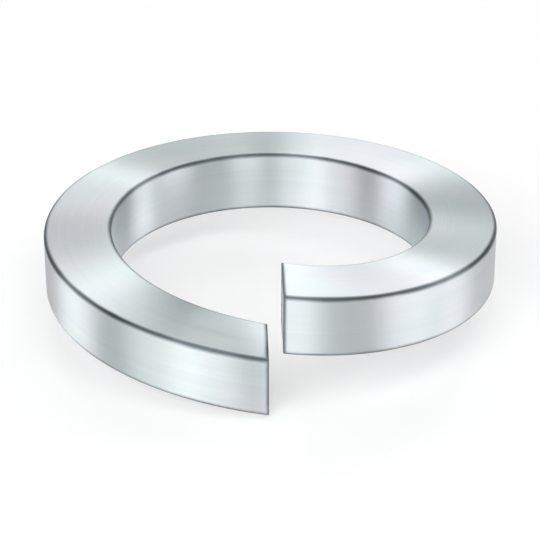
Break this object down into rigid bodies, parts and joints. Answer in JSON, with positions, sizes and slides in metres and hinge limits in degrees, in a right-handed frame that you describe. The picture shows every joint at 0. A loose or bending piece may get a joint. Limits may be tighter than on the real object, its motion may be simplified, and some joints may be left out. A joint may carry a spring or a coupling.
{
  "type": "spring lock washer",
  "caption": "Split ring of near-square spring wire with ends that stand apart, put under a nut or bolt head to keep it tight.",
  "frame": {"origin": "on the bore's axis, level with the lowest edge of the free washer", "axes": "+Z along the bolt, from the low end towards the high end; the split faces -Y, with the low end on its -X side and the high end on its +X side"},
  "size_m": [0.0174, 0.0174, 0.005],
  "materials": {
    "zinc_plated_steel": "bright zinc plated spring steel"
  },
  "bodies": {
    "root": {"lock_washer": "zinc_plated_steel"}
  },
  "joints": []
}
